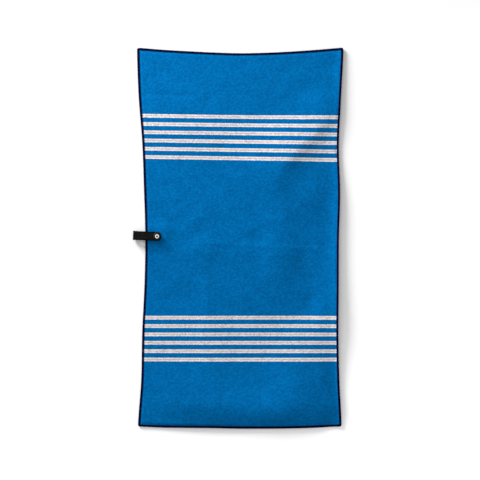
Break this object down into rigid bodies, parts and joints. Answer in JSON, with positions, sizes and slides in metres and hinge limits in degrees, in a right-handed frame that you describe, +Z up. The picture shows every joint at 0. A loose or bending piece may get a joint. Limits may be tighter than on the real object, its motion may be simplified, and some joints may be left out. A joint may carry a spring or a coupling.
{
  "type": "fitness towel",
  "caption": "Small rectangular gym towel laid flat with soft folds, a thin bound edge, striped bands near both ends and a snap-closed webbing hanging tab.",
  "frame": {"origin": "on the surface the towel lies on, under the middle of the cloth, where the cloth's underside touches it", "axes": "+Z up out of the surface, +Y along the cloth to its top short end, +X to the long side without the tab"},
  "size_m": [0.4208, 0.7614, 0.014],
  "materials": {
    "cloth": "blue short-pile microfibre terry with pale woven stripes",
    "binding": "near-black navy thread and tape, matt",
    "webbing": "black woven webbing",
    "snap": "black moulded plastic, satin"
  },
  "bodies": {
    "root": {"towel": "cloth", "edge_binding": "binding", "hang_strap": "webbing", "snap_cap": "snap", "snap_socket": "snap", "snap_stud": "snap", "snap_back": "snap"}
  },
  "joints": []
}
